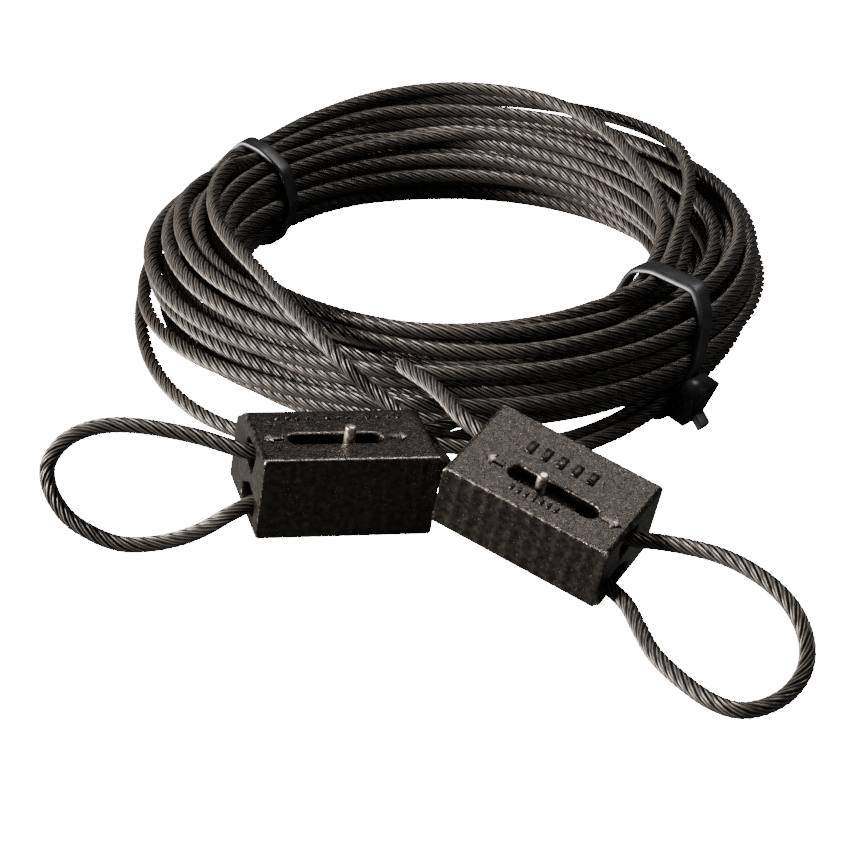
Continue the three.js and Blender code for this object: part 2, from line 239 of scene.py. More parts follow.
class ShaderEffects:
    """The shader node groups, each built once."""

    def __init__(self) -> None:
        """Builds every group."""
        self.grain = self._grain()
        self.wear = self._wear()
        self.dust = self._dust()

    @staticmethod
    def _grain() -> bpy.types.NodeTree:
        """A fine and a coarse noise mixed into one height, and a blotch mask."""
        graph, source, sink = new_group(
            "surface_grain",
            "ShaderNodeTree",
            [("Coords", VECTOR, None), ("Fine Scale", FLOAT, 4000.0), ("Coarse Scale", FLOAT, 700.0)],
            [("Height", FLOAT), ("Blotch", FLOAT)],
        )
        fine = graph.noise(source.outputs["Coords"], source.outputs["Fine Scale"], 3.0, 0.65)
        coarse = graph.noise(source.outputs["Coords"], source.outputs["Coarse Scale"], 4.0, 0.6)
        height = graph.math("ADD", graph.math("MULTIPLY", fine, 0.6), graph.math("MULTIPLY", coarse, 0.4))
        graph.feed(sink.inputs["Height"], height)
        graph.feed(sink.inputs["Blotch"], graph.remap(coarse, 0.38, 0.64, 0.0, 1.0))
        return graph.tree

    @staticmethod
    def _wear() -> bpy.types.NodeTree:
        """Breaks a smooth edge mask into scuffed patches."""
        graph, source, sink = new_group(
            "edge_wear",
            "ShaderNodeTree",
            [("Coords", VECTOR, None), ("Edge", FLOAT, 0.0), ("Amount", FLOAT, 0.5), ("Scale", FLOAT, 900.0)],
            [("Mask", FLOAT)],
        )
        patches = graph.noise(source.outputs["Coords"], source.outputs["Scale"], 5.0, 0.7)
        offset = graph.math("MULTIPLY", graph.math("SUBTRACT", patches, 0.5), 1.6)
        total = graph.math("ADD", graph.math("ADD", source.outputs["Edge"], offset), source.outputs["Amount"])
        graph.feed(sink.inputs["Mask"], graph.remap(total, 0.75, 1.2, 0.0, 1.0))
        return graph.tree

    @staticmethod
    def _dust() -> bpy.types.NodeTree:
        """Sparse pale specks."""
        graph, source, sink = new_group(
            "pale_specks",
            "ShaderNodeTree",
            [("Coords", VECTOR, None), ("Scale", FLOAT, 900.0), ("Size", FLOAT, 0.1)],
            [("Mask", FLOAT)],
        )
        cells = graph.node("ShaderNodeTexVoronoi", feature="F1")
        graph.feed(cells.inputs["Vector"], source.outputs["Coords"])
        graph.feed(cells.inputs["Scale"], source.outputs["Scale"])
        picked_scale = graph.math("MULTIPLY", source.outputs["Scale"], 0.45)
        picked = graph.noise(source.outputs["Coords"], picked_scale, 1.0)
        dot = graph.math("LESS_THAN", cells.outputs["Distance"], source.outputs["Size"])
        some = graph.math("GREATER_THAN", picked, 0.57)
        graph.feed(sink.inputs["Mask"], graph.math("MULTIPLY", dot, some))
        return graph.tree


# ---------------------------------------------------------------------------------------------
# Finishes
# ---------------------------------------------------------------------------------------------


class Finish:
    """A material under construction: the Principled shader, the coordinates and the graph."""

    def __init__(self, name: str) -> None:
        """Starts a material with a bare Principled shader."""
        self.material = bpy.data.materials.new(name)
        self.material.use_nodes = True
        tree = self.material.node_tree
        tree.nodes.clear()
        self.graph = Graph(tree)
        self.shader = self.graph.node("ShaderNodeBsdfPrincipled")
        output = self.graph.node("ShaderNodeOutputMaterial")
        tree.links.new(self.shader.outputs[0], output.inputs[0])
        self.coords = self.graph.node("ShaderNodeTexCoord").outputs["Object"]

    def group(self, tree: bpy.types.NodeTree, **values: object) -> bpy.types.Node:
        """Places a shared group, with its inputs named by words joined with underscores."""
        made = self.graph.node("ShaderNodeGroup", node_tree=tree)
        self.graph.feed(made.inputs["Coords"], self.coords)
        for key, value in values.items():
            self.graph.feed(made.inputs[key.replace("_", " ").title()], value)
        return made

    def attribute(self, name: str) -> Socket:
        """Reads one of the mesh's own attributes."""
        return self.graph.node("ShaderNodeAttribute", attribute_name=name).outputs["Fac"]

    def set(self, **values: object) -> None:
        """Feeds the Principled shader's sockets, named by words joined with underscores."""
        names = {socket.name.lower().replace(" ", "_"): socket for socket in self.shader.inputs}
        for key, value in values.items():
            self.graph.feed(names[key], value)

    def bump(self, height: Socket, strength: float, distance: float) -> None:
        """Adds a Bump node that feeds the shader's normal."""
        made = self.graph.node("ShaderNodeBump")
        self.graph.feed(made.inputs["Height"], height)
        made.inputs["Strength"].default_value = strength
        made.inputs["Distance"].default_value = distance
        self.graph.feed(self.shader.inputs["Normal"], made.outputs[0])


@dataclass(frozen=True)
class CastZinc:
    """Dark tumbled zinc casting, with bright scuffed edges, a few specks, and painted shade that darkens its
    hollows.
    """

    dark: tuple = (0.013, 0.0115, 0.0105, 1.0)
    warm: tuple = (0.042, 0.035, 0.028, 1.0)
    worn: tuple = (0.36, 0.325, 0.28, 1.0)
    pale: tuple = (0.50, 0.43, 0.34, 1.0)

    def build(self, effects: ShaderEffects) -> bpy.types.Material:
        """Builds the material."""
        made = Finish("cast_zinc")
        graph = made.graph
        grain = made.group(effects.grain, fine_scale=2500.0, coarse_scale=900.0)
        wear = made.group(effects.wear, edge=made.attribute("edge"), amount=0.30, scale=1300.0)
        specks = made.group(effects.dust, scale=1700.0, size=0.16)
        # painted shade: the casting's colour is darkened in its hollows
        hollow_shade = graph.remap(made.attribute("hollow_shade"), 0.0, 1.0, 1.0, 0.45)
        base = graph.blend(grain.outputs["Blotch"], self.dark, self.warm)
        shaded = graph.node("ShaderNodeMix", data_type="RGBA", blend_type="MULTIPLY")
        graph.feed(shaded.inputs["Factor"], 1.0)
        graph.feed(shaded.inputs[6], base)
        graph.feed(shaded.inputs[7], hollow_shade)
        scuffed = graph.blend(wear.outputs["Mask"], shaded.outputs[2], self.worn)
        made.set(
            base_color=graph.blend(graph.math("MULTIPLY", specks.outputs["Mask"], 0.45), scuffed, self.pale),
            metallic=0.78,
            roughness=graph.remap(grain.outputs["Height"], 0.35, 0.65, 0.18, 0.40),
        )
        made.bump(grain.outputs["Height"], 1.0, 0.00019)
        return made.material


@dataclass(frozen=True)
class WireRopeSteel:
    """Dark, slightly oily drawn wire, with a painted highlight on the crowns and painted shade, near black,
    between the strands and wires.
    """

    valley_shade: tuple = (0.010, 0.0092, 0.0086, 1.0)
    wire: tuple = (0.066, 0.059, 0.053, 1.0)
    # the painted highlight's colour, for the strands' crowns
    crown: tuple = (0.145, 0.129, 0.114, 1.0)
    rust: tuple = (0.06, 0.036, 0.023, 1.0)

    def build(self, effects: ShaderEffects) -> bpy.types.Material:
        """Builds the material."""
        made = Finish("wire_rope_steel")
        graph = made.graph
        height = made.attribute("crown")
        wire = graph.remap(made.attribute("wire"), -1.0, 1.0, 0.0, 1.0)
        grain = made.group(effects.grain, fine_scale=2600.0, coarse_scale=260.0)
        # painted shade: the colour darkens towards the valleys between the strands and between the wires
        lobe = graph.remap(height, 0.58, 0.92, 0.0, 1.0)
        raised = graph.math("MULTIPLY", lobe, graph.remap(wire, 0.1, 0.8, 0.08, 1.0))
        body = graph.blend(raised, self.valley_shade, self.wire)
        # painted highlight: the crowns are lightened in the colour, in patches
        patchy = graph.remap(grain.outputs["Blotch"], 0.0, 1.0, 0.35, 1.0)
        bright = graph.math("MULTIPLY", graph.remap(raised, 0.55, 1.0, 0.0, 1.0), patchy)
        lit = graph.blend(bright, body, self.crown)
        stain = graph.remap(graph.noise(made.coords, 95.0, 2.0), 0.60, 0.74, 0.0, 0.35)
        made.set(
            base_color=graph.blend(stain, lit, self.rust),
            metallic=0.6,
            roughness=graph.remap(grain.outputs["Height"], 0.3, 0.7, 0.34, 0.55),
        )
        fine = graph.math("MULTIPLY", grain.outputs["Height"], 0.25)
        made.bump(graph.math("ADD", graph.math("MULTIPLY", wire, 0.85), fine), 0.75, 0.00016)
        return made.material


@dataclass(frozen=True)
class BrightSteel:
    """Turned or machined steel, slightly warm, with fine tool marks."""

    low: tuple = (0.36, 0.31, 0.25, 1.0)
    high: tuple = (0.66, 0.58, 0.48, 1.0)
    roughness: float = 0.32

    def build(self, effects: ShaderEffects, name: str = "bright_steel") -> bpy.types.Material:
        """Builds the material."""
        made = Finish(name)
        graph = made.graph
        grain = made.group(effects.grain, fine_scale=6000.0, coarse_scale=1400.0)
        smoothest, roughest = self.roughness - 0.08, self.roughness + 0.14
        made.set(
            base_color=graph.blend(grain.outputs["Blotch"], self.low, self.high),
            metallic=1.0,
            roughness=graph.remap(grain.outputs["Height"], 0.3, 0.7, smoothest, roughest),
        )
        made.bump(grain.outputs["Height"], 0.2, 0.00006)
        return made.material


@dataclass(frozen=True)
class BlackNylon:
    """Moulded black nylon, glossy with a faint flow grain."""

    low: tuple = (0.004, 0.004, 0.005, 1.0)
    high: tuple = (0.012, 0.0115, 0.015, 1.0)

    def build(self, effects: ShaderEffects) -> bpy.types.Material:
        """Builds the material."""
        made = Finish("black_nylon")
        graph = made.graph
        grain = made.group(effects.grain, fine_scale=2200.0, coarse_scale=300.0)
        made.set(
            base_color=graph.blend(grain.outputs["Blotch"], self.low, self.high),
            roughness=graph.remap(grain.outputs["Height"], 0.3, 0.7, 0.34, 0.50),
            specular_ior_level=0.35,
        )
        made.bump(grain.outputs["Height"], 0.12, 0.0001)
        return made.material


@dataclass(frozen=True)
class PaleFloor:
    """A plain matt studio floor, which glows towards the camera and is darker to everything else."""

    low: tuple = (0.88, 0.88, 0.88, 1.0)
    high: tuple = (0.92, 0.92, 0.92, 1.0)
    unseen: tuple = (0.16, 0.16, 0.16, 1.0)
    glow: float = 22.0

    def build(self, effects: ShaderEffects) -> bpy.types.Material:
        """Builds the material."""
        made = Finish("pale_floor")
        graph = made.graph
        grain = made.group(effects.grain, fine_scale=300.0, coarse_scale=6.0)
        paper = graph.blend(grain.outputs["Blotch"], self.low, self.high)
        seen = graph.node("ShaderNodeLightPath").outputs["Is Camera Ray"]
        made.set(
            base_color=graph.blend(seen, self.unseen, paper),
            roughness=0.9,
            specular_ior_level=0.0,
            emission_color=(1.0, 1.0, 1.0, 1.0),
            emission_strength=graph.math("MULTIPLY", seen, self.glow),
        )
        return made.material


class Finishes:
    """Every finish of the model, built once."""

    def __init__(self) -> None:
        """Builds the shared groups and the materials."""
        effects = ShaderEffects()
        self.cast = CastZinc().build(effects)
        self.rope = WireRopeSteel().build(effects)
        self.pin = BrightSteel().build(effects, "turned_pin_steel")
        dull = BrightSteel(low=(0.16, 0.14, 0.12, 1.0), high=(0.34, 0.30, 0.26, 1.0), roughness=0.42)
        self.wedge = dull.build(effects, "wedge_steel")
        drawn = BrightSteel(low=(0.22, 0.21, 0.20, 1.0), high=(0.42, 0.41, 0.39, 1.0), roughness=0.3)
        self.spring = drawn.build(effects, "spring_steel")
        self.nylon = BlackNylon().build(effects)
        self.floor = PaleFloor().build(effects)


# ---------------------------------------------------------------------------------------------
# Geometry Nodes: a swept rope or wire
# ---------------------------------------------------------------------------------------------


class StrandSweep:
    """Sweeps a section of round strands, twisted to its lay, along a path of edges."""

    def __init__(self) -> None:
        """Builds the node tree."""
        graph, source, sink = new_group(
            "strand_sweep",
            "GeometryNodeTree",
            [
                ("Path", GEOMETRY, None),
                ("Strands", "NodeSocketInt", 6),
                ("Points Per Strand", "NodeSocketInt", 6),
                ("Strand Circle", FLOAT, 0.001),
                ("Strand Radius", FLOAT, 0.0005),
                ("Wire Ridges", FLOAT, 3.0),
                ("Ridge Height", FLOAT, 0.0),
                ("Valley Fill", FLOAT, 0.0),
                ("Lay Length", FLOAT, 0.019),
                ("Ring Spacing", FLOAT, 0.0013),
                ("Start Length", FLOAT, 0.0),
                ("Level Frame", "NodeSocketBool", False),
                ("Material", "NodeSocketMaterial", None),
            ],
            [("Geometry", GEOMETRY)],
        )
        self.graph = graph
        self.tree = graph.tree
        profile = self._profile(source)
        curve = self._path(source)
        swept = graph.apply("GeometryNodeCurveToMesh", curve, {"Profile Curve": profile, "Fill Caps": True})
        smooth = graph.apply("GeometryNodeSetShadeSmooth", swept, {})
        real = graph.apply("GeometryNodeRealizeInstances", smooth, {})
        dressed = graph.apply("GeometryNodeSetMaterial", real, {"Material": source.outputs["Material"]})
        graph.feed(sink.inputs["Geometry"], dressed)

    def _profile(self, source: bpy.types.Node) -> Socket:
        """The section: strands on a circle, each with a few fine ridges for its wires."""
        graph = self.graph
        strands, per_strand = source.outputs["Strands"], source.outputs["Points Per Strand"]
        strand_circle, strand_radius = source.outputs["Strand Circle"], source.outputs["Strand Radius"]
        count = graph.math("MULTIPLY", strands, per_strand)
        circle = graph.apply("GeometryNodeCurvePrimitiveCircle", count, {"Radius": 1.0}, mode="RADIUS")
        step = graph.math("DIVIDE", graph.node("GeometryNodeInputIndex").outputs[0], per_strand)
        phase = graph.math("SUBTRACT", graph.math("FRACT", step), 0.5)
        angle = graph.math("DIVIDE", graph.math("MULTIPLY", phase, math.tau), strands)
        across = graph.math("MULTIPLY", strand_circle, graph.math("SINE", angle))
        reach = graph.math("MULTIPLY", strand_circle, graph.math("COSINE", angle))
        square = graph.math("POWER", strand_radius, 2.0)
        across_square = graph.math("MULTIPLY", across, across)
        inside = graph.math("MAXIMUM", graph.math("SUBTRACT", square, across_square), 0.0)
        lobe = graph.math("ADD", reach, graph.math("SQRT", inside))
        past = graph.math("ADD", phase, 0.5)
        turns = graph.math("MULTIPLY", graph.math("MULTIPLY", past, math.tau), source.outputs["Wire Ridges"])
        wave = graph.math("MULTIPLY", graph.math("COSINE", turns), -1.0)
        ridge = graph.math("MULTIPLY", wave, source.outputs["Ridge Height"])
        outer = graph.math("ADD", strand_circle, strand_radius)
        filled = graph.math("MULTIPLY", graph.math("SUBTRACT", outer, lobe), source.outputs["Valley Fill"])
        radius = graph.math("ADD", graph.math("ADD", lobe, filled), ridge)
        marked = circle
        for name, value in (("crown", graph.math("DIVIDE", lobe, outer)), ("wire", wave)):
            inputs = {"Name": name, "Value": value}
            kind = "GeometryNodeStoreNamedAttribute"
            marked = graph.apply(kind, marked, inputs, data_type="FLOAT", domain="POINT")
        here = graph.node("GeometryNodeInputPosition").outputs[0]
        scaled = graph.apply("ShaderNodeVectorMath", here, {"Scale": radius}, operation="SCALE")
        return graph.apply("GeometryNodeSetPosition", marked, {"Position": scaled})

    def _path(self, source: bpy.types.Node) -> Socket:
        """The centreline, evenly sampled, with the tilt that lays the strands."""
        graph = self.graph
        curve = graph.apply("GeometryNodeMeshToCurve", source.outputs["Path"], {})
        smooth = graph.apply("GeometryNodeCurveSplineType", curve, {}, spline_type="CATMULL_ROM")
        spacing = {"Length": source.outputs["Ring Spacing"]}
        even = graph.apply("GeometryNodeResampleCurve", smooth, spacing, mode="LENGTH")
        level = graph.apply("GeometryNodeSetCurveNormal", even, {}, mode="Z_UP")
        wanted, frames = source.outputs["Level Frame"], {"False": even, "True": level}
        chosen = graph.apply("GeometryNodeSwitch", wanted, frames, input_type="GEOMETRY")
        here = graph.node("GeometryNodeSplineParameter").outputs["Length"]
        along = graph.math("ADD", here, source.outputs["Start Length"])
        turn = graph.math("DIVIDE", graph.math("MULTIPLY", along, math.tau), source.outputs["Lay Length"])
        return graph.apply("GeometryNodeSetCurveTilt", chosen, {"Tilt": turn})

    def make(
        self, name: str, path: np.ndarray, material: bpy.types.Material, **sizes: object
    ) -> bpy.types.Object:
        """Sweeps one piece.

        Args:
            name: the piece's name.
            path: the centreline's points, in metres.
            material: its material.
            sizes: the tree's inputs, named by words joined with underscores.

        Returns:
            The piece, as a plain mesh.
        """
        edges = [(i, i + 1) for i in range(len(path) - 1)]
        piece = add_object(name, mesh_from(name, path, edges, []))
        modifier = piece.modifiers.new("sweep", "NODES")
        modifier.node_group = self.tree
        values = {key.replace("_", " ").title(): value for key, value in sizes.items()}
        set_inputs(modifier, {**values, "Material": material})
        bake_modifiers(piece)
        return piece


# ---------------------------------------------------------------------------------------------
# The studio
# ---------------------------------------------------------------------------------------------


@dataclass
class AreaLamp:
    """One soft rectangular lamp, aimed at a point."""

    name: str
    place: Point
    aim: Point
    size: float
    watts: float
    tint: tuple[float, float, float] = (1.0, 1.0, 1.0)

    def build(self) -> None:
        """Adds the lamp to the scene."""
        light = bpy.data.lights.new(self.name, "AREA")
        light.shape = "SQUARE"
        light.size = self.size
        light.energy = self.watts
        light.color = self.tint
        made = bpy.data.objects.new(self.name, light)
        made.location = self.place
        made.rotation_euler = (Vector(self.aim) - Vector(self.place)).to_track_quat("-Z", "Y").to_euler()
        bpy.context.scene.collection.objects.link(made)


@dataclass
class Studio:
    """The camera, lamps, world and floor."""

    camera_place: Point = (-0.0029, -0.3998, 0.2515)
    camera_pitch: float = 29.38
    lens: float = 110.1
    sensor: float = 36.0
    world_strength: float = 0.10
    floor_half: float = 3.0

    def add_camera(self) -> None:
        """Adds the camera and makes it the scene's own."""
        camera = bpy.data.cameras.new("camera")
        camera.lens = self.lens
        camera.sensor_width = self.sensor
        camera.clip_start = 0.01
        made = bpy.data.objects.new("camera", camera)
        made.location = self.camera_place
        made.rotation_euler = (math.radians(90.0 - self.camera_pitch), 0.0, 0.0)
        bpy.context.scene.collection.objects.link(made)
        bpy.context.scene.camera = made

    def add_lamps(self) -> None:
        """Adds the lamps and the even white surroundings."""
        lamps = [
            AreaLamp("key_lamp", (-0.90, -0.16, 0.24), (-0.01, 0.06, 0.0), 0.24, 46.0, (1.0, 0.975, 0.945)),
            AreaLamp("high_lamp", (0.27, 0.50, 0.82), (0.02, 0.0, 0.0), 0.26, 4.8, (1.0, 0.985, 0.96)),
            AreaLamp("right_lamp", (0.8, -0.3, 0.35), (0.02, 0.03, 0.01), 0.3, 0.5, (0.95, 0.95, 1.0)),
        ]
        for lamp in lamps:
            lamp.build()
        world = bpy.data.worlds.new("studio_white")
        world.use_nodes = True
        surroundings = world.node_tree.nodes["Background"]
        surroundings.inputs["Color"].default_value = (1.0, 1.0, 1.0, 1.0)
        surroundings.inputs["Strength"].default_value = self.world_strength
        bpy.context.scene.world = world

    def add_floor(self, material: bpy.types.Material) -> None:
        """Adds the pale floor."""
        half = self.floor_half
        corners = np.array([(-half, -half, 0.0), (half, -half, 0.0), (half, half, 0.0), (-half, half, 0.0)])
        mesh = mesh_from("studio_floor", corners, [], [(0, 1, 2, 3)])
        mesh.materials.append(material)
        add_object("studio_floor", mesh)


# ---------------------------------------------------------------------------------------------
# The locks
# ---------------------------------------------------------------------------------------------


class Channel(Enum):
    """Which of a lock's two channels: near its own +Z face, or the point reflection of that."""

    NEAR_TOP = 1
    NEAR_BOTTOM = -1


@dataclass(frozen=True)
class LockPlace:
    """Where a lock stands, in millimetres and degrees, and which rope runs in which channel."""

    name: str
    cad_name: str
    centre: Point
    turn: Point
    load: Channel
    tail: Channel

    def matrix(self) -> Matrix:
        """The lock's own frame in the row's frame."""
        roll, pitch, yaw = (math.radians(a) for a in self.turn)
        turned = Euler((roll, pitch, yaw), "XYZ").to_matrix().to_4x4()
        return Matrix.Translation(Vector(self.centre) * MM) @ turned


LOCKS = (
    LockPlace(
        "left_lock",
        "lock_left",
        centre=(-19.4, 10.1, 11.9),
        turn=(2.6, 7.75, 15.9),
        load=Channel.NEAR_BOTTOM,
        tail=Channel.NEAR_TOP,
    ),
    LockPlace(
        "right_lock",
        "lock_right",
        centre=(18.4, -6.4, 12.75),
        turn=(187.1, 14.9, -28.6),
        load=Channel.NEAR_TOP,
        tail=Channel.NEAR_BOTTOM,
    ),
)


@dataclass
class Lock:
    """A cast block with two rope channels, each with a toothed wedge, its release pin and its spring.

    spring_closed is how many turns lie closed at each end of a spring, and spring_keep, which is not used, is
    the share of its length that is left with the wedge pulled back. softening counts the passes that round
    the casting's edges.
    """

    place: LockPlace
    length: float = 33.0 * MM
    width: float = 22.0 * MM
    height: float = 16.5 * MM
    channel_z: float = 3.7 * MM
    channel_y: float = 2.7 * MM
    channel_slope: float = math.tan(math.radians(10.0))
    slot_y: float = 3.3 * MM
    pin_x: float = 0.9 * MM
    pin_radius: float = 1.05 * MM
    pin_proud: float = 2.5 * MM
    pin_foot: float = 3.0 * MM
    pin_chamfer: float = 0.1 * MM
    pin_sides: int = 32
    spring_y: float = 1.9 * MM
    spring_radius: float = 1.875 * MM
    spring_wire: float = 0.45 * MM
    spring_from: float = 5.025 * MM
    spring_to: float = 12.175 * MM
    spring_turns: float = 5.0
    spring_closed: float = 0.8
    spring_keep: float = 0.36
    voxel: float = 0.25 * MM
    softening: int = 5
    rope_inset: float = 0.8 * MM
    arrow_worn: float = 0.8
    bar_worn: float = 0.3

    def to_row(self, points: np.ndarray) -> np.ndarray:
        """Moves points from the lock's own frame to the row's frame."""
        matrix = np.array(self.place.matrix())
        return points @ matrix[:3, :3].T + matrix[:3, 3]

    def to_lock(self, points: np.ndarray) -> np.ndarray:
        """Moves points from the row's frame to the lock's own frame."""
        matrix = np.array(self.place.matrix())
        return (points - matrix[:3, 3]) @ matrix[:3, :3]

    def channel_points(self, channel: Channel, start: int) -> np.ndarray:
        """Four points on a channel's axis.

        Args:
            channel: which channel.
            start: -1 to run from the lock's left end, 1 from its right end.

        Returns:
            The points, in the row's frame.
        """
        s = channel.value
        reach = self.length / 2.0 - self.rope_inset
        x = np.linspace(start * reach, -start * reach, 4)
        y = s * (self.channel_y + self.channel_slope * s * x)
        return self.to_row(np.column_stack([x, y, np.full(4, s * self.channel_z)]))

    def _raise_mark(self, form: bmesh.types.BMesh, outline: np.ndarray, worn: float, s: int) -> None:
        """Adds a low mark with chamfered edges to a slotted face.

        Args:
            form: the block, in the row's frame.
            outline: the mark's outline in millimetres, along and across the block.
            worn: how bright its top has worn.
            s: 1 for the +Z face and -1 for the -Z face.
        """
        edge = form.verts.layers.float["edge"]
        along = np.roll(outline, -1, axis=0) - outline
        along /= np.linalg.norm(along, axis=1)[:, None]
        inwards = np.column_stack([-along[:, 1], along[:, 0]])
        corner = np.roll(inwards, 1, axis=0) + inwards
        corner /= 1.0 + (np.roll(inwards, 1, axis=0) * inwards).sum(axis=1)[:, None]
        rings = []
        steps = ((0.0, -0.2, 0.0), (0.0, 0.2, 0.4), (0.12, 0.36, 1.0))
        for inset, level, share in steps:
            flat = s * (outline + inset * corner) * MM
            z = np.full(len(flat), s * (self.height / 2.0 + level * MM))
            rings.append([form.verts.new(p) for p in self.to_row(np.column_stack([flat, z]))])
            for vert in rings[-1]:
                vert[edge] = share * worn
        for low, high in zip(rings, rings[1:]):
            for i in range(len(outline)):
                j = (i + 1) % len(outline)
                form.faces.new([low[i], low[j], high[j], high[i]])
        form.faces.new(rings[-1])

    def _marks(self, channel: Channel) -> list[tuple[np.ndarray, float]]:
        """The marks of one slotted face: an arrow past each end of the slot, and a row of plain bars."""
        arrow = ((1.9, 0.0), (0.2, 1.5), (0.2, 0.55), (-1.8, 0.55), (-1.8, -0.55), (0.2, -0.55), (0.2, -1.5))
        slot = -self.slot_y / MM
        ends = ((-13.2, -1), (10.2, 1))
        shapes = [([(x + way * a, slot + way * b) for a, b in arrow], self.arrow_worn) for x, way in ends]
        if channel is Channel.NEAR_TOP:
            bars = [(-11.4 + 1.9 * i, 0.75, 3.2, 4.6) for i in range(13) if i not in (4, 8)]
        else:
            bars = [(-6.4 + 3.1 * i, 1.5, 2.4, 5.4) for i in range(5)]
            bars += [(-4.6 + 1.5 * i, 0.65, -7.8, -6.5) for i in range(7)]
        for x, width, low, high in bars:
            shapes.append(([(x, low), (x + width, low), (x + width, high), (x, high)], self.bar_worn))
        return [(np.array(shape), worn) for shape, worn in shapes]

    def casting(self, material: bpy.types.Material) -> bpy.types.Object:
        """The block: the CAD solid's shape, rounded as a casting is, with its raised marks."""
        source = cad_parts[f"{self.place.cad_name}_body"]
        form = bmesh.new()
        form.from_mesh(source.data)
        bmesh.ops.remove_doubles(form, verts=form.verts, dist=1e-6)
        bmesh.ops.recalc_face_normals(form, faces=form.faces)
        mesh = bpy.data.meshes.new(f"{self.place.name}_casting")
        form.to_mesh(mesh)
        form.free()
        piece = add_object(f"{self.place.name}_casting", mesh)
        remesh = piece.modifiers.new("cast", "REMESH")
        remesh.mode = "VOXEL"
        remesh.voxel_size = self.voxel
        bake_modifiers(piece)
        self._finish_casting(piece.data)
        form = bmesh.new()
        form.from_mesh(piece.data)
        for channel in Channel:
            for outline, worn in self._marks(channel):
                self._raise_mark(form, outline, worn, channel.value)
        form.to_mesh(piece.data)
        form.free()
        shade_smooth(piece.data)
        piece.data.materials.clear()
        piece.data.materials.append(material)
        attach(piece, "root")
        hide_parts(f"{self.place.cad_name}_body")
        return piece

    def _finish_casting(self, mesh: bpy.types.Mesh) -> None:
        """Softens the remeshed block, and marks its worn edges and its hollows, which get painted shade in
        the colour.
        """
        count = len(mesh.vertices)
        points = np.empty(count * 3)
        mesh.vertices.foreach_get("co", points)
        points = points.reshape(-1, 3)
        ends = np.empty(len(mesh.edges) * 2, dtype=np.int64)
        mesh.edges.foreach_get("vertices", ends)
        ends = ends.reshape(-1, 2)
        degree = np.bincount(ends.ravel(), minlength=count)[:, None]

        def spread(values: np.ndarray) -> np.ndarray:
            """Averages each vertex's neighbours."""
            total = np.zeros_like(values)
            np.add.at(total, ends[:, 0], values[ends[:, 1]])
            np.add.at(total, ends[:, 1], values[ends[:, 0]])
            return total / degree

        for _ in range(self.softening):
            points = points + 0.5 * (spread(points) - points)
        own = self.to_lock(points)
        depth = self.width / 2.0 - np.abs(own[:, 1])
        shallow = depth * (0.5 + 0.5 * smoothstep((depth / MM - 0.6) / 0.9))
        own[:, 1] = np.sign(own[:, 1]) * (self.width / 2.0 - shallow)
        points = self.to_row(own)
        sides = np.abs(np.abs(own) - np.array((self.length, self.width, self.height)) / 2.0)
        near = np.minimum(np.sort(sides, axis=1)[:, 1], sides[:, 2])
        exposed = 1.0 - 0.9 * smoothstep((near / MM - 0.5) / 0.7)
        mesh.vertices.foreach_set("co", points.ravel())
        mesh.update()
        normals = np.empty(count * 3)
        mesh.vertices.foreach_get("normal", normals)
        normals = normals.reshape(-1, 3)
        wide = points
        for _ in range(3):
            wide = spread(wide)
        curve = ((points - wide) * normals).sum(axis=1)[:, None]
        curve = 0.5 * curve + 0.5 * spread(curve)
        add_attribute(mesh, "edge", exposed * np.clip(curve[:, 0] / (0.045 * MM) - 0.4, 0.0, 1.0))
        # the hollows' mask, which darkens the casting's colour as painted shade
        hollow_shade = np.clip(-curve / (0.06 * MM), 0.0, 1.0)
        for _ in range(2):
            hollow_shade = 0.5 * hollow_shade + 0.5 * spread(hollow_shade)
        add_attribute(mesh, "hollow_shade", hollow_shade[:, 0])
        shade_smooth(mesh)

    def pin(self, use: str, channel: Channel, material: bpy.types.Material) -> bpy.types.Object:
        """A turned release pin with a domed end."""
        s = channel.value
        top = self.height / 2.0 + self.pin_proud
        r = self.pin_radius
        foot, chamfer, sides = self.pin_foot, self.pin_chamfer, self.pin_sides
        profile = [(0.0, foot), (r - chamfer, foot), (r, foot + chamfer)]
        dome = ((0.0, 0.42), (0.05, 0.24), (0.2, 0.09), (0.5, 0.02))
        profile += [(r - inwards * MM, top - down * MM) for inwards, down in dome]
        profile.append((0.0, top))
        angles = np.linspace(0.0, math.tau, sides, endpoint=False)
        points, faces = [(0.0, 0.0, profile[0][1])], []
        for radius, level in profile[1:-1]:
            points += [(radius * math.cos(a), radius * math.sin(a), level) for a in angles]
        points.append((0.0, 0.0, profile[-1][1]))
        rings = len(profile) - 2
        for i in range(sides):
            j = (i + 1) % sides
            faces.append([0, 1 + j, 1 + i])
            for ring in range(rings - 1):
                low, high = 1 + ring * sides, 1 + (ring + 1) * sides
                faces.append([low + i, low + j, high + j, high + i])
            last = 1 + (rings - 1) * sides
            faces.append([last + i, last + j, len(points) - 1])
        placed = np.array(points) * (1.0, s, s) + (s * self.pin_x, -s * self.slot_y, 0.0)
        name = f"{self.place.name}_release_pin_{use}"
        mesh = mesh_from(name, self.to_row(placed), [], faces)
        shade_smooth(mesh)
        mesh.materials.append(material)
        piece = add_object(name, mesh)
        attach(piece, self.wedge_body(use))
        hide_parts(f"{self.place.cad_name}_pin_{use}")
        return piece

    def wedge_body(self, use: str) -> str:
        """The moving body of a channel's wedge."""
        side = self.place.cad_name.removeprefix("lock_")
        return f"{side}_{use}_wedge"

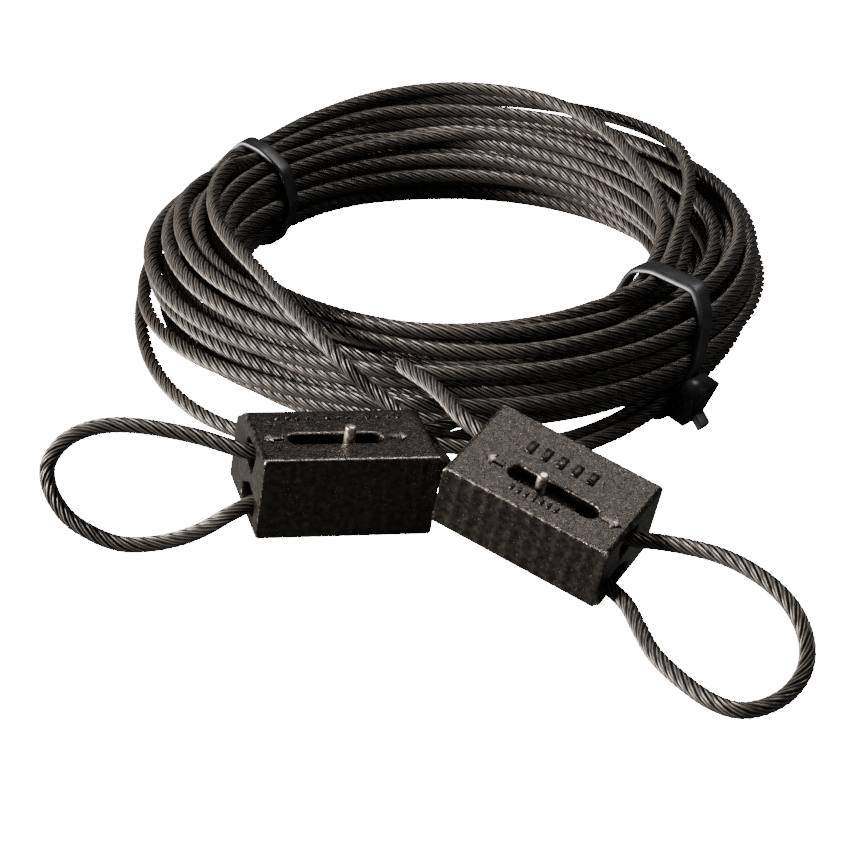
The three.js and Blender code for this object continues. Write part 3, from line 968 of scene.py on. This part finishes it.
    def spring(
        self, use: str, channel: Channel, sweep: StrandSweep, material: bpy.types.Material
    ) -> bpy.types.Object:
        """A wound spring, with a few closed turns at each end."""
        s, closed = channel.value, self.spring_closed
        t = np.linspace(0.0, 1.0, 150)
        turns = self.spring_turns + 2.0 * closed
        angle = math.tau * turns * t
        pace = np.where((t < closed / turns) | (t > 1.0 - closed / turns), 0.35, 1.0)
        run = np.cumsum(pace)
        run = (run - run[0]) / (run[-1] - run[0])
        x = self.spring_from + (self.spring_to - self.spring_from) * run
        local = np.column_stack([x, self.spring_radius * np.cos(angle), self.spring_radius * np.sin(angle)])
        local = local * (s, s, 1.0) + (0.0, -s * self.spring_y, s * self.channel_z)
        piece = sweep.make(
            f"{self.place.name}_spring_{use}",
            self.to_row(local),
            material,
            strands=1,
            points_per_strand=8,
            strand_circle=0.0,
            strand_radius=self.spring_wire / 2.0,
            ridge_height=0.0,
            lay_length=1.0,
            ring_spacing=0.35 * MM,
        )
        anchor = self.to_row(np.array([(s * self.spring_to, -s * self.spring_y, s * self.channel_z)]))[0]
        axis = self.to_row(np.array([(1.0, 0.0, 0.0)]))[0] - self.to_row(np.zeros((1, 3)))[0]
        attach(piece, "root")
        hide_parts(f"{self.place.cad_name}_spring_{use}")
        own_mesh(piece)
        return piece

    def build(self, sweep: StrandSweep, finishes: Finishes) -> None:
        """Builds and dresses every piece of the lock."""
        LOG.info("%s: casting of %d faces", self.place.name, len(self.casting(finishes.cast).data.polygons))
        for use, channel in (("tail", self.place.tail), ("load", self.place.load)):
            self.pin(use, channel, finishes.pin)
            self.spring(use, channel, sweep, finishes.spring)
            for part, material in (("wedge", finishes.wedge), ("plate", finishes.spring)):
                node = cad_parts[f"{self.place.cad_name}_{part}_{use}"]
                node.data.materials.clear()
                node.data.materials.append(material)
            LOG.info("%s: pin, spring, wedge and plate of the %s channel", self.place.name, use)


# ---------------------------------------------------------------------------------------------
# The rope
# ---------------------------------------------------------------------------------------------


@dataclass(frozen=True)
class LooseRun:
    """A stretch of the coil that lies in a place of its own, away from its turn's usual slot.

    Each point is an azimuth in degrees, counted on from the turn's start, then a radius and a
    height in millimetres.
    """

    turn: int
    points: tuple[Point, ...]


@dataclass(frozen=True)
class Limit:
    """A limit on the turns in millimetres: its value between the ties, and its change under a tie."""

    between: float
    change: float

    def at(self, tight: np.ndarray) -> np.ndarray:
        """The limit at each station."""
        return self.between + self.change * tight


@dataclass
class Coil:
    """The wound rope: a bundle of turns, drawn tight under the two ties and loose between them.

    Lengths are in millimetres and angles in degrees. swell is the azimuth, the width and the size of
    the place where the low outer turns spread. drifts are the waves in each turn's place, as (waves per
    turn, size), and drift_shares their shares of the radius and the height. Each turn crosses to the
    next slot at a random part of its way, within crossing_starts, and takes crossing_length for it.
    """

    centre: tuple[float, float] = (2.7, 102.7)
    rope: float = 3.0
    turns: int = 27
    steps: int = 96
    start_azimuth: float = -56.3
    end_azimuth: float = 156.9
    ties: tuple[float, float] = (145.0, -44.4)
    rows: tuple[int, ...] = (4, 5, 6, 5, 5, 3)
    row_rise: float = 3.1
    lowest_row: float = 3.0
    column_pitch: float = 4.0
    middle_radius: float = 55.2
    swell: Point = (-70.0, 19.0, 5.5)
    tie_reach: float = 7.0
    tie_fade: float = 16.0
    calm_width: float = 24.0
    drifts: tuple[tuple[int, float], ...] = ((1, 1.6), (2, 1.5), (3, 1.0))
    drift_shares: tuple[float, float] = (1.0, 0.7)
    crossing_starts: tuple[float, float] = (0.30, 0.75)
    crossing_length: float = 0.22
    run_fade: float = 14.0
    floor: Limit = Limit(1.55, 1.35)
    roof: Limit = Limit(20.6, -1.9)
    left_tie_roof: float = -1.3
    inner: Limit = Limit(42.5, 2.2)
    outer: Limit = Limit(69.5, -4.0)
    loose_outer: float = 90.0
    loose_roof: float = 30.0
    pull: float = 0.03
    held_pull: float = 0.25
    clearance: float = 0.06
    push: float = 0.42
    longest_push: float = 0.8
    seed: int = 7
    rounds: int = 120
    pieces: int = 6
    loose_runs: tuple[LooseRun, ...] = (
        LooseRun(0, ((-56.3, 67.8, 2.4), (-49.0, 65.6, 2.7), (-40.0, 64.0, 3.2))),
        LooseRun(
            0,
            (
                (262.0, 68.6, 2.6), (276.0, 70.2, 2.0), (287.0, 69.4, 1.8), (295.0, 67.2, 2.0),
                (303.0, 64.8, 2.2), (312.0, 62.6, 2.6),
            ),
        ),
        LooseRun(
            1,
            (
                (172.0, 66.0, 3.2), (185.0, 65.8, 2.2), (200.0, 67.7, 1.6), (212.0, 70.4, 1.6),
                (223.0, 73.4, 1.6), (231.0, 75.0, 1.6), (241.0, 74.4, 1.6), (252.0, 71.5, 1.6),
                (264.0, 68.0, 1.6),
            ),
        ),
        LooseRun(
            26,
            (
                (-41.0, 48.0, 17.8), (-15.0, 45.0, 19.4), (2.0, 44.6, 20.4), (28.0, 46.0, 21.4),
                (48.0, 52.3, 22.2), (65.0, 59.8, 23.0), (75.0, 61.8, 23.4), (88.0, 62.4, 23.8),
                (101.0, 60.6, 23.6), (112.5, 59.0, 22.8), (125.5, 58.2, 20.2), (141.0, 57.6, 17.2),
            ),
        ),
        LooseRun(
            25,
            (
                (-41.0, 51.5, 18.0), (-17.0, 47.6, 19.8), (2.0, 48.9, 20.4), (18.0, 54.0, 20.6),
                (35.0, 62.4, 20.4), (48.0, 65.0, 20.0), (66.0, 65.0, 19.8), (88.0, 62.9, 20.5),
                (106.0, 60.4, 20.2), (124.0, 59.9, 18.4), (141.0, 61.0, 16.2),
            ),
        ),
        LooseRun(27, ((137.0, 53.8, 17.3), (145.0, 53.6, 17.6), (151.0, 53.1, 20.0), (156.9, 52.5, 22.2))),
    )

    def stations(self) -> np.ndarray:
        """The azimuth of every station along the rope, in degrees, counted on from turn to turn."""
        extra = round((self.end_azimuth - self.start_azimuth) / 360.0 * self.steps)
        count = self.turns * self.steps + extra + 1
        return self.start_azimuth + 360.0 * np.arange(count) / self.steps

    def slots(self) -> np.ndarray:
        """The turns' places in the bundle, row by row from the floor, there and back."""
        places = []
        for row, count in enumerate(self.rows):
            height = self.lowest_row + self.row_rise * row
            steps = [i - (count - 1) / 2.0 for i in range(count)]
            line = [(self.middle_radius + self.column_pitch * step, height) for step in steps]
            places += line[::-1] if row % 2 == 0 else line
        return np.array(places)

    def under(self, azimuth: np.ndarray, tie: float) -> np.ndarray:
        """How tight one tie draws each station: 1 under it and 0 well away from it."""
        past = np.abs(azimuth_gap(azimuth, tie)) - self.tie_reach
        return 1.0 - smoothstep(past / self.tie_fade)

    def _wander(self, azimuth: np.ndarray, random: np.random.Generator) -> np.ndarray:
        """A slow drift of each turn about its slot, as a hand-wound coil has."""
        along = (azimuth - self.start_azimuth) / 360.0
        turn = np.floor(along).astype(int)
        ease = smoothstep(along - turn)
        angle = np.radians(azimuth)
        drift = np.zeros((len(azimuth), 2))
        for order, size in self.drifts:
            phase = random.uniform(0.0, math.tau, (self.turns + 2, 2))
            gain = random.normal(1.0, 0.3, (self.turns + 2, 2))
            for axis, share in enumerate(self.drift_shares):
                here = phase[turn, axis]
                change = (phase[turn + 1, axis] - here + math.pi) % math.tau - math.pi
                wave = np.sin(order * angle + here + change * ease)
                drift[:, axis] += share * size * gain[turn, axis] * wave
        calm = np.ones(len(azimuth))
        for tie in self.ties:
            calm = np.minimum(calm, 1.0 - np.exp(-((azimuth_gap(azimuth, tie) / self.calm_width) ** 2)))
        return drift * calm[:, None]

    def _swell(self, azimuth: np.ndarray) -> np.ndarray:
        """How far the low outer turns spread outwards in front of the right tie."""
        where, width, size = self.swell
        return size * np.exp(-((azimuth_gap(azimuth, where) / width) ** 2))

    def _targets(self, azimuth: np.ndarray) -> tuple[np.ndarray, np.ndarray]:
        """Where each station would lie if the turns didn't touch.

        Returns:
            Radius and height of each station, and how firmly each is held there.
        """
        random = np.random.default_rng(self.seed)
        slots = self.slots()
        along = (azimuth - self.start_azimuth) / 360.0
        turn = np.floor(along).astype(int)
        starts = random.uniform(*self.crossing_starts, self.turns + 2)
        move = smoothstep((along - turn - starts[turn]) / self.crossing_length)[:, None]
        here = slots[np.minimum(turn, len(slots) - 1)]
        following = slots[np.minimum(turn + 1, len(slots) - 1)]
        target = here * (1.0 - move) + following * move + self._wander(azimuth, random)
        outwards = np.clip((target[:, 0] - 48.0) / 14.0, 0.0, 1.0)
        low = np.clip(1.15 - target[:, 1] / 22.0, 0.0, 1.0)
        target[:, 0] += self._swell(azimuth) * (outwards * low)
        held = np.zeros(len(azimuth))
        for run in self.loose_runs:
            where, radius, height = np.array(run.points).T
            local = azimuth - 360.0 * run.turn
            weight = smoothstep(np.minimum(local - where[0], where[-1] - local) / self.run_fade + 1.0)
            target[:, 0] += weight * (np.interp(local, where, radius) - target[:, 0])
            target[:, 1] += weight * (np.interp(local, where, height) - target[:, 1])
            held = np.maximum(held, weight)
        return target, held

    def _part(self, place: np.ndarray) -> np.ndarray:
        """Pushes apart the turns that cut into each other at the same azimuth."""
        full = (self.turns + 1) * self.steps
        grid = np.full((full, 2), np.nan)
        grid[: len(place)] = place
        grid = grid.reshape(self.turns + 1, self.steps, 2)
        gap = np.nan_to_num(grid[:, None] - grid[None])
        distance = np.sqrt((gap**2).sum(axis=-1))
        clear = self.rope + self.clearance
        close = (distance < clear) & (distance > 1e-9)
        need = np.where(close, (clear - distance) / np.maximum(distance, 1e-9), 0.0)
        push = self.push * (need[..., None] * gap).sum(axis=1).reshape(full, 2)[: len(place)]
        return place + np.clip(push, -self.longest_push, self.longest_push)

    def route(self) -> np.ndarray:
        """Settles the turns and returns the coil's centreline, in metres."""
        azimuth = self.stations()
        target, held = self._targets(azimuth)
        under_left = self.under(azimuth, self.ties[0])
        tight = np.maximum(under_left, self.under(azimuth, self.ties[1]))
        free = held > 0.3
        floor, inner = self.floor.at(tight), self.inner.at(tight)
        outer = np.where(free, self.loose_outer, self.outer.at(tight) + self._swell(azimuth))
        roof = np.where(free, self.loose_roof, self.roof.at(tight) + self.left_tie_roof * under_left)
        place = target.copy()
        for _ in range(self.rounds):
            place += (target - place) * (self.pull + self.held_pull * held)[:, None]
            for _ in range(3):
                place[1:-1] = 0.5 * place[1:-1] + 0.25 * (place[:-2] + place[2:])
            for _ in range(4):
                place = self._part(place)
                place[:, 0] = np.clip(place[:, 0], inner, outer)
                place[:, 1] = np.clip(place[:, 1], floor, roof)
        angle = np.radians(azimuth)
        x = self.centre[0] + place[:, 0] * np.cos(angle)
        y = self.centre[1] + place[:, 0] * np.sin(angle)
        line = np.column_stack([x, y, place[:, 1]])
        line[0], line[-1] = LEFT_LEAD[0], RIGHT_LEAD[0]
        return line * MM


# The rope's route outside the coil, in millimetres, as listed points: each end leaves the coil by
# its lead, runs through its lock, goes round its loop and comes back through the lock to its cut tail.
LEFT_LEAD = (
    (40.3, 46.3, 2.4), (35.6, 41.6, 2.1), (29.7, 36.8, 2.0), (21.0, 30.9, 2.0), (12.5, 25.7, 2.4),
    (6.0, 21.1, 3.6), (1.0, 17.7, 4.8),
)
LEFT_LOOP = (
    (-38.2, -1.2, 8.6), (-42.3, -1.4, 6.0), (-46.3, -1.6, 4.2), (-50.3, -1.5, 3.0), (-54.4, -1.4, 2.4),
    (-58.0, -1.1, 2.4), (-61.2, -0.5, 3.2), (-64.2, 0.1, 4.6), (-67.0, 1.1, 6.2), (-69.3, 2.5, 8.6),
    (-70.8, 4.1, 11.3), (-71.2, 5.9, 14.2), (-69.6, 7.5, 17.1), (-66.9, 8.6, 19.2), (-63.3, 9.3, 20.5),
    (-59.0, 9.5, 21.1), (-53.4, 9.0, 21.0), (-47.7, 8.1, 20.4), (-42.7, 7.2, 19.6), (-38.4, 6.2, 18.6),
)
LEFT_TAIL = ((-1.0, 21.7, 13.5), (2.8, 23.1, 14.4))
RIGHT_LEAD = (
    (-45.6, 123.3, 22.2), (-47.6, 114.8, 22.2), (-47.8, 104.4, 22.2), (-46.0, 93.6, 22.2),
    (-42.0, 82.7, 22.2), (-37.4, 72.8, 22.2), (-32.7, 62.4, 22.2), (-28.3, 52.7, 22.1),
    (-23.8, 43.8, 21.8), (-20.1, 38.0, 20.6), (-16.8, 34.8, 18.4), (-13.4, 33.7, 15.6),
    (-9.6, 31.3, 13.4), (-6.0, 28.3, 11.2), (-2.6, 23.5, 10.2), (-0.6, 17.5, 10.4), (0.5, 11.9, 11.8),
    (1.2, 7.1, 13.4),
)
RIGHT_LOOP = (
    (31.8, -22.1, 3.5), (33.7, -28.4, 2.7), (36.0, -36.1, 2.1), (40.4, -43.9, 1.8), (44.4, -49.0, 1.7),
    (48.6, -51.5, 1.7), (52.9, -50.8, 2.0), (56.8, -48.9, 3.2), (59.7, -45.7, 5.4), (60.5, -41.8, 8.2),
    (59.1, -36.7, 11.0), (56.0, -31.3, 12.6), (51.9, -26.3, 13.3), (47.4, -22.3, 13.4),
    (42.5, -19.1, 13.0), (38.0, -16.7, 12.5),
)
RIGHT_TAIL = (
    (3.7, 9.5, 22.7), (1.2, 15.3, 22.9), (-1.4, 20.9, 22.7), (-4.2, 25.9, 22.3), (-7.2, 30.9, 21.8),
)


def fine_curve(points: np.ndarray, spacing: float) -> np.ndarray:
    """A smooth curve through points, sampled at an even spacing.

    Args:
        points: the points it passes through, in metres.
        spacing: the distance between samples, in metres.

    Returns:
        The samples, from the first point to the last.
    """
    step = np.sqrt(np.linalg.norm(np.diff(points, axis=0), axis=1))
    knots = np.concatenate([[0.0], np.cumsum(step)])
    first, last = 2 * points[0] - points[1], 2 * points[-1] - points[-2]
    padded = np.vstack([first, points, last])
    times = np.concatenate([[knots[0] - step[0]], knots, [knots[-1] + step[-1]]])
    samples = []
    for i in range(len(points) - 1):
        t0, t1, t2, t3 = times[i : i + 4]
        p0, p1, p2, p3 = padded[i : i + 4]
        t = np.linspace(t1, t2, 24, endpoint=False)[:, None]
        a1 = (t1 - t) / (t1 - t0) * p0 + (t - t0) / (t1 - t0) * p1
        a2 = (t2 - t) / (t2 - t1) * p1 + (t - t1) / (t2 - t1) * p2
        a3 = (t3 - t) / (t3 - t2) * p2 + (t - t2) / (t3 - t2) * p3
        b1 = (t2 - t) / (t2 - t0) * a1 + (t - t0) / (t2 - t0) * a2
        b2 = (t3 - t) / (t3 - t1) * a2 + (t - t1) / (t3 - t1) * a3
        samples.append((t2 - t) / (t2 - t1) * b1 + (t - t1) / (t2 - t1) * b2)
    dense = np.vstack([*samples, points[-1:]])
    run = np.concatenate([[0.0], np.cumsum(np.linalg.norm(np.diff(dense, axis=0), axis=1))])
    even = np.linspace(0.0, run[-1], max(8, round(run[-1] / spacing)))
    return np.column_stack([np.interp(even, run, dense[:, axis]) for axis in range(3)])


@dataclass
class Rope:
    """The whole wire rope, as one coil in several pieces and an end in each lock."""

    coil: Coil
    left: Lock
    right: Lock
    diameter: float = 3.0 * MM
    strands: int = 6
    points_per_strand: int = 8
    wire_ridges: float = 2.0
    ridge: float = 0.075 * MM
    valley_fill: float = 0.35
    lay: float = 16.5 * MM
    ring_spacing: float = 1.3 * MM
    path_spacing: float = 2.4 * MM

    def _sweep(
        self,
        name: str,
        path: np.ndarray,
        sweep: StrandSweep,
        material: bpy.types.Material,
        start: float,
        level: bool,
    ) -> bpy.types.Object:
        """Makes one stretch of stranded rope.

        Args:
            name: the piece's name.
            path: its centreline.
            sweep: the tool that lays the strands.
            material: the rope's finish.
            start: the length of rope before it, so that the strands meet those of the last stretch.
            level: whether the strands are counted from the horizontal all along, as in the coil.

        Returns:
            The piece.
        """
        piece = sweep.make(
            name,
            path,
            material,
            strands=self.strands,
            points_per_strand=self.points_per_strand,
            strand_circle=self.diameter / 3.0,
            strand_radius=self.diameter / 6.0,
            wire_ridges=self.wire_ridges,
            ridge_height=self.ridge,
            valley_fill=self.valley_fill,
            lay_length=self.lay,
            ring_spacing=self.ring_spacing,
            start_length=start,
            level_frame=level,
        )
        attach(piece, "root")
        return piece

    def end_path(self, left: bool) -> np.ndarray:
        """The route of one end: from the coil through its lock, round the loop and back."""
        if left:
            lead, loop, tail, lock, start = LEFT_LEAD, LEFT_LOOP, LEFT_TAIL, self.left, 1
        else:
            lead, loop, tail, lock, start = RIGHT_LEAD, RIGHT_LOOP, RIGHT_TAIL, self.right, -1
        points = np.vstack(
            [
                np.array(lead) * MM,
                lock.channel_points(lock.place.load, start),
                np.array(loop) * MM,
                lock.channel_points(lock.place.tail, -start),
                np.array(tail) * MM,
            ]
        )
        return fine_curve(points, self.path_spacing)

    def build(
        self,
        sweep: StrandSweep,
        material: bpy.types.Material,
        route: np.ndarray,
        on_coil: list[bpy.types.Object],
    ) -> None:
        """Args:
            sweep: the tool that lays the strands.
            material: the rope's finish.
            route: the coil's centreline.
            on_coil: the pieces fixed round the coil, which are not used.
        """
        bounds = np.linspace(0, len(route) - 1, self.coil.pieces + 1).astype(int)
        before = 0.0
        for number, (first, last) in enumerate(zip(bounds[:-1], bounds[1:]), start=1):
            path = route[first : last + 1]
            piece = self._sweep(f"rope_coil_turns_{number}", path, sweep, material, before, True)
            if number == 1:
                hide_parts("rope_coil")
            before += self._declare(piece, path)
        for side, cad_node, start in ((True, "rope_end_left", 0.0), (False, "rope_end_right", before)):
            path = self.end_path(side)
            name = "rope_end_with_left_loop" if side else "rope_end_with_right_loop"
            piece = self._sweep(name, path, sweep, material, start, False)
            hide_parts(cad_node)
            self._declare(piece, path)

    def _declare(self, piece: bpy.types.Object, path: np.ndarray) -> float:
        """Reports a stretch of rope, and returns its length."""
        length = float(np.linalg.norm(np.diff(path, axis=0), axis=1).sum())
        LOG.info("%s: %.3f m, %d faces", piece.name, length, len(piece.data.polygons))
        return length


# ---------------------------------------------------------------------------------------------
# The cable ties
# ---------------------------------------------------------------------------------------------


@dataclass
class CableTie:
    """A nylon tie drawn tight round the bundle, with its head low on the outside and its end cut short.

    shear is how far the tie leans along the coil for each unit of height. The head and the tail stand
    at a height above the strap's foot, and start a little inside what they grow from.
    """

    name: str
    cad_node: str
    azimuth: float
    shear: float
    middle: float = 11.0 * MM
    thickness: float = 1.2 * MM
    width: float = 3.6 * MM
    clearance: float = 0.08 * MM
    head: Point = (5.0 * MM, 6.0 * MM, 5.2 * MM)
    head_tilt: float = -0.12
    head_height: float = 3.4 * MM
    head_sunk: float = 0.4 * MM
    head_rounding: float = 0.45 * MM
    tail: Point = (3.6 * MM, 1.1 * MM, 2.6 * MM)
    tail_tilt: float = -0.45
    tail_height: float = 1.0 * MM
    tail_sunk: float = 1.0 * MM
    tail_rounding: float = 0.2 * MM

    def _outline(self, coil: Coil, route: np.ndarray) -> tuple[np.ndarray, np.ndarray]:
        """The strap's middle line round the bundle.

        Args:
            coil: the coil that it holds.
            route: the coil's centreline.

        Returns:
            Points as (radius, height), and the outward direction at each.
        """
        centre = np.array(coil.centre) * MM
        flat = route[:, :2] - centre
        angle = math.radians(self.azimuth)
        outwards = np.array((math.cos(angle), math.sin(angle)))
        radius = flat @ outwards
        side = flat @ np.array((-outwards[1], outwards[0])) - self.shear * (route[:, 2] - self.middle)
        near = (np.abs(side) < 0.75 * self.width) & (radius > 0.0)
        held = np.column_stack([radius[near], route[near, 2]])
        turns = np.linspace(0.0, math.tau, 360, endpoint=False)
        normals = np.column_stack([np.cos(turns), np.sin(turns)])
        reach = coil.rope * MM / 2.0 + self.clearance + self.thickness / 2.0
        hull = held[np.argmax(held @ normals.T, axis=0)] + reach * normals
        step = np.linalg.norm(np.roll(hull, -1, axis=0) - hull, axis=1)
        run = np.concatenate([[0.0], np.cumsum(step)])
        even = np.linspace(0.0, run[-1], 120, endpoint=False)
        loop = np.vstack([hull, hull[:1]])
        line = np.column_stack([np.interp(even, run, loop[:, axis]) for axis in range(2)])
        for _ in range(2):
            line = 0.5 * line + 0.25 * (np.roll(line, 1, axis=0) + np.roll(line, -1, axis=0))
        along = np.roll(line, -1, axis=0) - np.roll(line, 1, axis=0)
        facing = np.column_stack([along[:, 1], -along[:, 0]])
        return line, facing / np.linalg.norm(facing, axis=1)[:, None]

    def _strap(self, form: bmesh.types.BMesh, line: np.ndarray, facing: np.ndarray) -> None:
        """Sweeps the strap's rounded section round the closed line."""
        t, w, soft = self.thickness / 2.0, self.width / 2.0, 0.28 * MM
        section = [(t, 0.0), (t, w - 1.6 * soft), (t - 0.25 * soft, w - 0.5 * soft), (t - soft, w)]
        section += [(-t + soft, w), (-t, w - soft), (-t, 0.0)]
        section += [(a, -b) for a, b in reversed(section[1:-1])]
        rings = []
        for (x, z), (out, up) in zip(line, facing):
            rings.append([form.verts.new((x + a * out, b, z + a * up)) for a, b in section])
        for here, following in zip(rings, rings[1:] + rings[:1]):
            for i in range(len(section)):
                j = (i + 1) % len(section)
                form.faces.new([here[i], here[j], following[j], following[i]])

    @staticmethod
    def _block(form: bmesh.types.BMesh, size: Point, place: Matrix, rounding: float, recess: bool) -> None:
        """Adds a block with rounded edges, and with a recess in its outer face if asked."""
        made = bmesh.ops.create_cube(form, size=1.0)["verts"]
        bmesh.ops.scale(form, vec=size, verts=made)
        faces = {face for vert in made for face in vert.link_faces}
        if recess:
            outer = max(faces, key=lambda face: face.calc_center_median().x)
            bmesh.ops.inset_region(form, faces=[outer], thickness=0.9 * MM, depth=0.0)
            bmesh.ops.translate(form, vec=(-0.7 * MM, 0.0, 0.0), verts=outer.verts)
        everything = list({vert for face in faces for vert in face.verts} | set(made))
        linked = {edge for vert in made for edge in vert.link_edges}
        edges = list({edge for edge in linked if edge.verts[0] in made and edge.verts[1] in made})
        rounded = bmesh.ops.bevel(form, geom=edges, offset=rounding, segments=3, profile=0.6, affect="EDGES")
        moved = {v for v in everything if v.is_valid} | set(rounded["verts"])
        bmesh.ops.transform(form, matrix=place, verts=list(moved))

    def build(self, coil: Coil, route: np.ndarray, material: bpy.types.Material) -> bpy.types.Object:
        """Builds the tie round the coil's route."""
        line, facing = self._outline(coil, route)
        form = bmesh.new()
        self._strap(form, line, facing)
        outer = line[:, 0].max() + self.thickness / 2.0
        low = line[:, 1].min() + self.thickness / 2.0
        to_plane = Matrix.Rotation(math.pi / 2.0, 4, "X")
        head_x = outer - self.head_sunk + self.head[0] / 2.0
        tail_x = outer + self.head[0] - self.tail_sunk + self.tail[0] / 2.0
        for size, tilt, x, height, rounding, recess in (
            (self.head, self.head_tilt, head_x, self.head_height, self.head_rounding, True),
            (self.tail, self.tail_tilt, tail_x, self.tail_height, self.tail_rounding, False),
        ):
            place = to_plane @ Matrix.Translation((x, low + height, 0.0)) @ Matrix.Rotation(tilt, 4, "Z")
            self._block(form, size, place, rounding, recess)
        bmesh.ops.recalc_face_normals(form, faces=form.faces)
        for vert in form.verts:
            vert.co.y += self.shear * (vert.co.z - self.middle)
        centre = Matrix.Translation((coil.centre[0] * MM, coil.centre[1] * MM, 0.0))
        form.transform(centre @ Matrix.Rotation(math.radians(self.azimuth), 4, "Z"))
        mesh = bpy.data.meshes.new(self.name)
        form.to_mesh(mesh)
        form.free()
        shade_smooth(mesh)
        mesh.materials.append(material)
        piece = add_object(self.name, mesh)
        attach(piece, "root")
        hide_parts(self.cad_node)
        LOG.info("%s: %d faces", self.name, len(mesh.polygons))
        return piece


TIES = (
    CableTie("left_cable_tie", "cable_tie_left", 145.0, -0.35, tail=(2.2 * MM, 1.1 * MM, 2.6 * MM)),
    CableTie("right_cable_tie", "cable_tie_right", -44.4, 0.85),
)


# ---------------------------------------------------------------------------------------------
# The whole model
# ---------------------------------------------------------------------------------------------


def main() -> None:
    """Builds the camera, the rope with its ties, the locks and the studio, in that order."""
    logging.basicConfig(level=logging.INFO, format="%(name)s: %(message)s", force=True)
    studio = Studio()
    studio.add_camera()
    finishes = Finishes()
    sweep = StrandSweep()
    left, right = (Lock(place) for place in LOCKS)
    coil = Coil()
    route = coil.route()
    ties = [tie.build(coil, route, finishes.nylon) for tie in TIES]
    Rope(coil, left, right).build(sweep, finishes.rope, route, ties)
    for lock in (left, right):
        lock.build(sweep, finishes)
    studio.add_lamps()
    studio.add_floor(finishes.floor)


if __name__ == "__main__":
    main()
